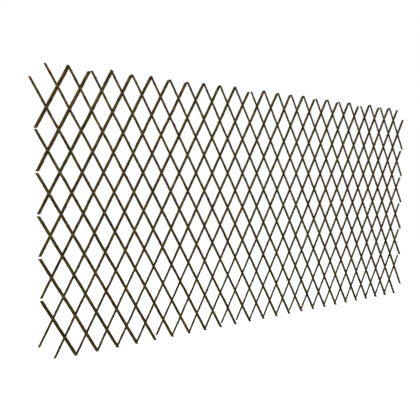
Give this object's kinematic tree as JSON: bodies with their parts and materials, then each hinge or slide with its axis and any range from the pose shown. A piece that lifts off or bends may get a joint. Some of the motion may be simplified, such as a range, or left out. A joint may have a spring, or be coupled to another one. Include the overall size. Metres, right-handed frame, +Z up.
{
  "type": "expandable willow trellis",
  "caption": "Folding garden screen of slim bark-covered willow rods, crossed in two layers and nailed into a diamond lattice that closes like lazy tongs.",
  "frame": {"origin": "the nail in the middle of the root rod, on its axis, halfway between the two layers of rods", "axes": "+X along the panel to the right as seen from the front, +Y from front to back, +Z up"},
  "size_m": [1.6853, 0.0227, 0.9245],
  "materials": {
    "willow_brown": "dry bark, matt",
    "willow_olive": "dry bark, matt",
    "willow_russet": "dry bark, matt",
    "nail_steel": "dull wire"
  },
  "bodies": {
    "front_rod_15": {"front_rod_15": "willow_brown"},
    "front_rod_01": {"front_rod_01": "willow_olive"},
    "front_rod_02": {"front_rod_02": "willow_brown"},
    "front_rod_03": {"front_rod_03": "willow_olive"},
    "front_rod_04": {"front_rod_04": "willow_russet"},
    "front_rod_05": {"front_rod_05": "willow_brown"},
    "front_rod_06": {"front_rod_06": "willow_brown"},
    "front_rod_07": {"front_rod_07": "willow_russet"},
    "front_rod_08": {"front_rod_08": "willow_brown"},
    "front_rod_09": {"front_rod_09": "willow_olive"},
    "front_rod_10": {"front_rod_10": "willow_russet"},
    "front_rod_11": {"front_rod_11": "willow_brown"},
    "front_rod_12": {"front_rod_12": "willow_russet"},
    "front_rod_13": {"front_rod_13": "willow_brown"},
    "front_rod_14": {"front_rod_14": "willow_brown"},
    "front_rod_16": {"front_rod_16": "willow_olive"},
    "front_rod_17": {"front_rod_17": "willow_olive"},
    "front_rod_18": {"front_rod_18": "willow_brown"},
    "front_rod_19": {"front_rod_19": "willow_brown"},
    "front_rod_20": {"front_rod_20": "willow_brown"},
    "front_rod_21": {"front_rod_21": "willow_russet"},
    "front_rod_22": {"front_rod_22": "willow_olive"},
    "front_rod_23": {"front_rod_23": "willow_brown"},
    "front_rod_24": {"front_rod_24": "willow_russet"},
    "front_rod_25": {"front_rod_25": "willow_brown"},
    "front_rod_26": {"front_rod_26": "willow_brown"},
    "front_rod_27": {"front_rod_27": "willow_russet"},
    "front_rod_28": {"front_rod_28": "willow_russet"},
    "front_rod_29": {"front_rod_29": "willow_russet"},
    "front_rod_30": {"front_rod_30": "willow_brown"},
    "rear_rod_01": {"rear_rod_01": "willow_russet"},
    "rear_rod_02": {"rear_rod_02": "willow_russet"},
    "rear_rod_03": {"rear_rod_03": "willow_olive"},
    "rear_rod_04": {"rear_rod_04": "willow_brown"},
    "rear_rod_05": {"rear_rod_05": "willow_brown"},
    "rear_rod_06": {"rear_rod_06": "willow_brown"},
    "rear_rod_07": {"rear_rod_07": "willow_russet"},
    "rear_rod_08": {"rear_rod_08": "willow_brown"},
    "rear_rod_09": {"rear_rod_09": "willow_olive"},
    "rear_rod_10": {"rear_rod_10": "willow_olive"},
    "rear_rod_11": {"rear_rod_11": "willow_brown"},
    "rear_rod_12": {"rear_rod_12": "willow_russet"},
    "rear_rod_13": {"rear_rod_13": "willow_brown"},
    "rear_rod_14": {"rear_rod_14": "willow_russet"},
    "rear_rod_15": {"rear_rod_15": "willow_olive"},
    "rear_rod_16": {"rear_rod_16": "willow_russet"},
    "rear_rod_17": {"rear_rod_17": "willow_russet"},
    "rear_rod_18": {"rear_rod_18": "willow_brown"},
    "rear_rod_19": {"rear_rod_19": "willow_brown"},
    "rear_rod_20": {"rear_rod_20": "willow_russet"},
    "rear_rod_21": {"rear_rod_21": "willow_russet"},
    "rear_rod_22": {"rear_rod_22": "willow_russet"},
    "rear_rod_23": {"rear_rod_23": "willow_brown"},
    "rear_rod_24": {"rear_rod_24": "willow_olive"},
    "rear_rod_25": {"rear_rod_25": "willow_brown"},
    "rear_rod_26": {"rear_rod_26": "willow_russet"},
    "rear_rod_27": {"rear_rod_27": "willow_russet"},
    "rear_rod_28": {"rear_rod_28": "willow_brown"},
    "rear_rod_29": {"rear_rod_29": "willow_russet"},
    "rear_rod_30": {"rear_rod_30": "willow_brown"}
  },
  "joints": [
    {"name": "rear_rod_15_turn", "type": "hinge", "parent": "front_rod_15", "child": "rear_rod_15", "pos_m": [0, 0, 0], "axis": [0, 1, 0], "range_deg": [-44, 36]},
    {"name": "rear_rod_09_turn", "type": "hinge", "parent": "front_rod_15", "child": "rear_rod_09", "pos_m": [-0.19869, 0, 0.39505], "axis": [0, 1, 0], "range_deg": [-44, 36]},
    {"name": "rear_rod_10_turn", "type": "hinge", "parent": "front_rod_15", "child": "rear_rod_10", "pos_m": [-0.16557, 0, 0.32921], "axis": [0, 1, 0], "range_deg": [-44, 36]},
    {"name": "rear_rod_11_turn", "type": "hinge", "parent": "front_rod_15", "child": "rear_rod_11", "pos_m": [-0.13246, 0, 0.26337], "axis": [0, 1, 0], "range_deg": [-44, 36]},
    {"name": "rear_rod_12_turn", "type": "hinge", "parent": "front_rod_15", "child": "rear_rod_12", "pos_m": [-0.09934, 0, 0.19752], "axis": [0, 1, 0], "range_deg": [-44, 36]},
    {"name": "rear_rod_13_turn", "type": "hinge", "parent": "front_rod_15", "child": "rear_rod_13", "pos_m": [-0.06623, 0, 0.13168], "axis": [0, 1, 0], "range_deg": [-44, 36]},
    {"name": "rear_rod_14_turn", "type": "hinge", "parent": "front_rod_15", "child": "rear_rod_14", "pos_m": [-0.03311, 0, 0.06584], "axis": [0, 1, 0], "range_deg": [-44, 36]},
    {"name": "rear_rod_16_turn", "type": "hinge", "parent": "front_rod_15", "child": "rear_rod_16", "pos_m": [0.03311, 0, -0.06584], "axis": [0, 1, 0], "range_deg": [-44, 36]},
    {"name": "rear_rod_17_turn", "type": "hinge", "parent": "front_rod_15", "child": "rear_rod_17", "pos_m": [0.06623, 0, -0.13168], "axis": [0, 1, 0], "range_deg": [-44, 36]},
    {"name": "rear_rod_18_turn", "type": "hinge", "parent": "front_rod_15", "child": "rear_rod_18", "pos_m": [0.09934, 0, -0.19752], "axis": [0, 1, 0], "range_deg": [-44, 36]},
    {"name": "rear_rod_19_turn", "type": "hinge", "parent": "front_rod_15", "child": "rear_rod_19", "pos_m": [0.13246, 0, -0.26337], "axis": [0, 1, 0], "range_deg": [-44, 36]},
    {"name": "rear_rod_20_turn", "type": "hinge", "parent": "front_rod_15", "child": "rear_rod_20", "pos_m": [0.16557, 0, -0.32921], "axis": [0, 1, 0], "range_deg": [-44, 36]},
    {"name": "rear_rod_21_turn", "type": "hinge", "parent": "front_rod_15", "child": "rear_rod_21", "pos_m": [0.19869, 0, -0.39505], "axis": [0, 1, 0], "range_deg": [-44, 36]},
    {"name": "front_rod_03_turn", "type": "hinge", "parent": "rear_rod_09", "child": "front_rod_03", "pos_m": [-0.59607, 0, -0.39505], "axis": [0, -1, 0], "range_deg": [-44, 36]},
    {"name": "front_rod_04_turn", "type": "hinge", "parent": "rear_rod_09", "child": "front_rod_04", "pos_m": [-0.56295, 0, -0.32921], "axis": [0, -1, 0], "range_deg": [-44, 36]},
    {"name": "front_rod_05_turn", "type": "hinge", "parent": "rear_rod_09", "child": "front_rod_05", "pos_m": [-0.52984, 0, -0.26337], "axis": [0, -1, 0], "range_deg": [-44, 36]},
    {"name": "front_rod_06_turn", "type": "hinge", "parent": "rear_rod_09", "child": "front_rod_06", "pos_m": [-0.49672, 0, -0.19752], "axis": [0, -1, 0], "range_deg": [-44, 36]},
    {"name": "front_rod_07_turn", "type": "hinge", "parent": "rear_rod_09", "child": "front_rod_07", "pos_m": [-0.46361, 0, -0.13168], "axis": [0, -1, 0], "range_deg": [-44, 36]},
    {"name": "front_rod_08_turn", "type": "hinge", "parent": "rear_rod_09", "child": "front_rod_08", "pos_m": [-0.43049, 0, -0.06584], "axis": [0, -1, 0], "range_deg": [-44, 36]},
    {"name": "front_rod_09_turn", "type": "hinge", "parent": "rear_rod_09", "child": "front_rod_09", "pos_m": [-0.39738, 0, 0], "axis": [0, -1, 0], "range_deg": [-44, 36]},
    {"name": "front_rod_10_turn", "type": "hinge", "parent": "rear_rod_10", "child": "front_rod_10", "pos_m": [-0.33115, 0, 0], "axis": [0, -1, 0], "range_deg": [-44, 36]},
    {"name": "front_rod_11_turn", "type": "hinge", "parent": "rear_rod_11", "child": "front_rod_11", "pos_m": [-0.26492, 0, 0], "axis": [0, -1, 0], "range_deg": [-44, 36]},
    {"name": "front_rod_12_turn", "type": "hinge", "parent": "rear_rod_12", "child": "front_rod_12", "pos_m": [-0.19869, 0, 0], "axis": [0, -1, 0], "range_deg": [-44, 36]},
    {"name": "front_rod_13_turn", "type": "hinge", "parent": "rear_rod_13", "child": "front_rod_13", "pos_m": [-0.13246, 0, 0], "axis": [0, -1, 0], "range_deg": [-44, 36]},
    {"name": "front_rod_14_turn", "type": "hinge", "parent": "rear_rod_14", "child": "front_rod_14", "pos_m": [-0.06623, 0, 0], "axis": [0, -1, 0], "range_deg": [-44, 36]},
    {"name": "front_rod_16_turn", "type": "hinge", "parent": "rear_rod_16", "child": "front_rod_16", "pos_m": [0.06623, 0, 0], "axis": [0, -1, 0], "range_deg": [-44, 36]},
    {"name": "front_rod_17_turn", "type": "hinge", "parent": "rear_rod_17", "child": "front_rod_17", "pos_m": [0.13246, 0, 0], "axis": [0, -1, 0], "range_deg": [-44, 36]},
    {"name": "front_rod_18_turn", "type": "hinge", "parent": "rear_rod_18", "child": "front_rod_18", "pos_m": [0.19869, 0, 0], "axis": [0, -1, 0], "range_deg": [-44, 36]},
    {"name": "front_rod_19_turn", "type": "hinge", "parent": "rear_rod_19", "child": "front_rod_19", "pos_m": [0.26492, 0, 0], "axis": [0, -1, 0], "range_deg": [-44, 36]},
    {"name": "front_rod_20_turn", "type": "hinge", "parent": "rear_rod_20", "child": "front_rod_20", "pos_m": [0.33115, 0, 0], "axis": [0, -1, 0], "range_deg": [-44, 36]},
    {"name": "front_rod_21_turn", "type": "hinge", "parent": "rear_rod_21", "child": "front_rod_21", "pos_m": [0.39738, 0, 0], "axis": [0, -1, 0], "range_deg": [-44, 36]},
    {"name": "front_rod_22_turn", "type": "hinge", "parent": "rear_rod_21", "child": "front_rod_22", "pos_m": [0.43049, 0, 0.06584], "axis": [0, -1, 0], "range_deg": [-44, 36]},
    {"name": "front_rod_23_turn", "type": "hinge", "parent": "rear_rod_21", "child": "front_rod_23", "pos_m": [0.46361, 0, 0.13168], "axis": [0, -1, 0], "range_deg": [-44, 36]},
    {"name": "front_rod_24_turn", "type": "hinge", "parent": "rear_rod_21", "child": "front_rod_24", "pos_m": [0.49672, 0, 0.19752], "axis": [0, -1, 0], "range_deg": [-44, 36]},
    {"name": "front_rod_25_turn", "type": "hinge", "parent": "rear_rod_21", "child": "front_rod_25", "pos_m": [0.52984, 0, 0.26337], "axis": [0, -1, 0], "range_deg": [-44, 36]},
    {"name": "front_rod_26_turn", "type": "hinge", "parent": "rear_rod_21", "child": "front_rod_26", "pos_m": [0.56295, 0, 0.32921], "axis": [0, -1, 0], "range_deg": [-44, 36]},
    {"name": "front_rod_27_turn", "type": "hinge", "parent": "rear_rod_21", "child": "front_rod_27", "pos_m": [0.59607, 0, 0.39505], "axis": [0, -1, 0], "range_deg": [-44, 36]},
    {"name": "rear_rod_01_turn", "type": "hinge", "parent": "front_rod_06", "child": "rear_rod_01", "pos_m": [-0.76164, 0, 0.32921], "axis": [0, 1, 0], "range_deg": [-44, 36]},
    {"name": "rear_rod_02_turn", "type": "hinge", "parent": "front_rod_05", "child": "rear_rod_02", "pos_m": [-0.76164, 0, 0.19752], "axis": [0, 1, 0], "range_deg": [-44, 36]},
    {"name": "rear_rod_03_turn", "type": "hinge", "parent": "front_rod_04", "child": "rear_rod_03", "pos_m": [-0.76164, 0, 0.06584], "axis": [0, 1, 0], "range_deg": [-44, 36]},
    {"name": "rear_rod_04_turn", "type": "hinge", "parent": "front_rod_04", "child": "rear_rod_04", "pos_m": [-0.72853, 0, 0], "axis": [0, 1, 0], "range_deg": [-44, 36]},
    {"name": "rear_rod_05_turn", "type": "hinge", "parent": "front_rod_05", "child": "rear_rod_05", "pos_m": [-0.6623, 0, 0], "axis": [0, 1, 0], "range_deg": [-44, 36]},
    {"name": "rear_rod_06_turn", "type": "hinge", "parent": "front_rod_06", "child": "rear_rod_06", "pos_m": [-0.59607, 0, 0], "axis": [0, 1, 0], "range_deg": [-44, 36]},
    {"name": "rear_rod_07_turn", "type": "hinge", "parent": "front_rod_07", "child": "rear_rod_07", "pos_m": [-0.52984, 0, 0], "axis": [0, 1, 0], "range_deg": [-44, 36]},
    {"name": "rear_rod_08_turn", "type": "hinge", "parent": "front_rod_08", "child": "rear_rod_08", "pos_m": [-0.46361, 0, 0], "axis": [0, 1, 0], "range_deg": [-44, 36]},
    {"name": "rear_rod_22_turn", "type": "hinge", "parent": "front_rod_22", "child": "rear_rod_22", "pos_m": [0.46361, 0, 0], "axis": [0, 1, 0], "range_deg": [-44, 36]},
    {"name": "rear_rod_23_turn", "type": "hinge", "parent": "front_rod_23", "child": "rear_rod_23", "pos_m": [0.52984, 0, 0], "axis": [0, 1, 0], "range_deg": [-44, 36]},
    {"name": "rear_rod_24_turn", "type": "hinge", "parent": "front_rod_24", "child": "rear_rod_24", "pos_m": [0.59607, 0, 0], "axis": [0, 1, 0], "range_deg": [-44, 36]},
    {"name": "rear_rod_25_turn", "type": "hinge", "parent": "front_rod_25", "child": "rear_rod_25", "pos_m": [0.6623, 0, 0], "axis": [0, 1, 0], "range_deg": [-44, 36]},
    {"name": "rear_rod_26_turn", "type": "hinge", "parent": "front_rod_26", "child": "rear_rod_26", "pos_m": [0.72853, 0, 0], "axis": [0, 1, 0], "range_deg": [-44, 36]},
    {"name": "rear_rod_27_turn", "type": "hinge", "parent": "front_rod_27", "child": "rear_rod_27", "pos_m": [0.79476, 0, 0], "axis": [0, 1, 0], "range_deg": [-44, 36]},
    {"name": "rear_rod_28_turn", "type": "hinge", "parent": "front_rod_27", "child": "rear_rod_28", "pos_m": [0.82787, 0, -0.06584], "axis": [0, 1, 0], "range_deg": [-44, 36]},
    {"name": "rear_rod_29_turn", "type": "hinge", "parent": "front_rod_26", "child": "rear_rod_29", "pos_m": [0.82787, 0, -0.19752], "axis": [0, 1, 0], "range_deg": [-44, 36]},
    {"name": "rear_rod_30_turn", "type": "hinge", "parent": "front_rod_25", "child": "rear_rod_30", "pos_m": [0.82787, 0, -0.32921], "axis": [0, 1, 0], "range_deg": [-44, 36]},
    {"name": "front_rod_01_turn", "type": "hinge", "parent": "rear_rod_06", "child": "front_rod_01", "pos_m": [-0.76164, 0, -0.32921], "axis": [0, -1, 0], "range_deg": [-44, 36]},
    {"name": "front_rod_02_turn", "type": "hinge", "parent": "rear_rod_05", "child": "front_rod_02", "pos_m": [-0.76164, 0, -0.19752], "axis": [0, -1, 0], "range_deg": [-44, 36]},
    {"name": "front_rod_28_turn", "type": "hinge", "parent": "rear_rod_27", "child": "front_rod_28", "pos_m": [0.82787, 0, 0.06584], "axis": [0, -1, 0], "range_deg": [-44, 36]},
    {"name": "front_rod_29_turn", "type": "hinge", "parent": "rear_rod_26", "child": "front_rod_29", "pos_m": [0.82787, 0, 0.19752], "axis": [0, -1, 0], "range_deg": [-44, 36]},
    {"name": "front_rod_30_turn", "type": "hinge", "parent": "rear_rod_25", "child": "front_rod_30", "pos_m": [0.82787, 0, 0.32921], "axis": [0, -1, 0], "range_deg": [-44, 36]}
  ],
  "couplings": [
    {"joint": "rear_rod_09_turn", "follows": "rear_rod_15_turn", "ratio": 1},
    {"joint": "rear_rod_10_turn", "follows": "rear_rod_15_turn", "ratio": 1},
    {"joint": "rear_rod_11_turn", "follows": "rear_rod_15_turn", "ratio": 1},
    {"joint": "rear_rod_12_turn", "follows": "rear_rod_15_turn", "ratio": 1},
    {"joint": "rear_rod_13_turn", "follows": "rear_rod_15_turn", "ratio": 1},
    {"joint": "rear_rod_14_turn", "follows": "rear_rod_15_turn", "ratio": 1},
    {"joint": "rear_rod_16_turn", "follows": "rear_rod_15_turn", "ratio": 1},
    {"joint": "rear_rod_17_turn", "follows": "rear_rod_15_turn", "ratio": 1},
    {"joint": "rear_rod_18_turn", "follows": "rear_rod_15_turn", "ratio": 1},
    {"joint": "rear_rod_19_turn", "follows": "rear_rod_15_turn", "ratio": 1},
    {"joint": "rear_rod_20_turn", "follows": "rear_rod_15_turn", "ratio": 1},
    {"joint": "rear_rod_21_turn", "follows": "rear_rod_15_turn", "ratio": 1},
    {"joint": "front_rod_03_turn", "follows": "rear_rod_15_turn", "ratio": 1},
    {"joint": "front_rod_04_turn", "follows": "rear_rod_15_turn", "ratio": 1},
    {"joint": "front_rod_05_turn", "follows": "rear_rod_15_turn", "ratio": 1},
    {"joint": "front_rod_06_turn", "follows": "rear_rod_15_turn", "ratio": 1},
    {"joint": "front_rod_07_turn", "follows": "rear_rod_15_turn", "ratio": 1},
    {"joint": "front_rod_08_turn", "follows": "rear_rod_15_turn", "ratio": 1},
    {"joint": "front_rod_09_turn", "follows": "rear_rod_15_turn", "ratio": 1},
    {"joint": "front_rod_10_turn", "follows": "rear_rod_15_turn", "ratio": 1},
    {"joint": "front_rod_11_turn", "follows": "rear_rod_15_turn", "ratio": 1},
    {"joint": "front_rod_12_turn", "follows": "rear_rod_15_turn", "ratio": 1},
    {"joint": "front_rod_13_turn", "follows": "rear_rod_15_turn", "ratio": 1},
    {"joint": "front_rod_14_turn", "follows": "rear_rod_15_turn", "ratio": 1},
    {"joint": "front_rod_16_turn", "follows": "rear_rod_15_turn", "ratio": 1},
    {"joint": "front_rod_17_turn", "follows": "rear_rod_15_turn", "ratio": 1},
    {"joint": "front_rod_18_turn", "follows": "rear_rod_15_turn", "ratio": 1},
    {"joint": "front_rod_19_turn", "follows": "rear_rod_15_turn", "ratio": 1},
    {"joint": "front_rod_20_turn", "follows": "rear_rod_15_turn", "ratio": 1},
    {"joint": "front_rod_21_turn", "follows": "rear_rod_15_turn", "ratio": 1},
    {"joint": "front_rod_22_turn", "follows": "rear_rod_15_turn", "ratio": 1},
    {"joint": "front_rod_23_turn", "follows": "rear_rod_15_turn", "ratio": 1},
    {"joint": "front_rod_24_turn", "follows": "rear_rod_15_turn", "ratio": 1},
    {"joint": "front_rod_25_turn", "follows": "rear_rod_15_turn", "ratio": 1},
    {"joint": "front_rod_26_turn", "follows": "rear_rod_15_turn", "ratio": 1},
    {"joint": "front_rod_27_turn", "follows": "rear_rod_15_turn", "ratio": 1},
    {"joint": "rear_rod_01_turn", "follows": "rear_rod_15_turn", "ratio": 1},
    {"joint": "rear_rod_02_turn", "follows": "rear_rod_15_turn", "ratio": 1},
    {"joint": "rear_rod_03_turn", "follows": "rear_rod_15_turn", "ratio": 1},
    {"joint": "rear_rod_04_turn", "follows": "rear_rod_15_turn", "ratio": 1},
    {"joint": "rear_rod_05_turn", "follows": "rear_rod_15_turn", "ratio": 1},
    {"joint": "rear_rod_06_turn", "follows": "rear_rod_15_turn", "ratio": 1},
    {"joint": "rear_rod_07_turn", "follows": "rear_rod_15_turn", "ratio": 1},
    {"joint": "rear_rod_08_turn", "follows": "rear_rod_15_turn", "ratio": 1},
    {"joint": "rear_rod_22_turn", "follows": "rear_rod_15_turn", "ratio": 1},
    {"joint": "rear_rod_23_turn", "follows": "rear_rod_15_turn", "ratio": 1},
    {"joint": "rear_rod_24_turn", "follows": "rear_rod_15_turn", "ratio": 1},
    {"joint": "rear_rod_25_turn", "follows": "rear_rod_15_turn", "ratio": 1},
    {"joint": "rear_rod_26_turn", "follows": "rear_rod_15_turn", "ratio": 1},
    {"joint": "rear_rod_27_turn", "follows": "rear_rod_15_turn", "ratio": 1},
    {"joint": "rear_rod_28_turn", "follows": "rear_rod_15_turn", "ratio": 1},
    {"joint": "rear_rod_29_turn", "follows": "rear_rod_15_turn", "ratio": 1},
    {"joint": "rear_rod_30_turn", "follows": "rear_rod_15_turn", "ratio": 1},
    {"joint": "front_rod_01_turn", "follows": "rear_rod_15_turn", "ratio": 1},
    {"joint": "front_rod_02_turn", "follows": "rear_rod_15_turn", "ratio": 1},
    {"joint": "front_rod_28_turn", "follows": "rear_rod_15_turn", "ratio": 1},
    {"joint": "front_rod_29_turn", "follows": "rear_rod_15_turn", "ratio": 1},
    {"joint": "front_rod_30_turn", "follows": "rear_rod_15_turn", "ratio": 1}
  ]
}
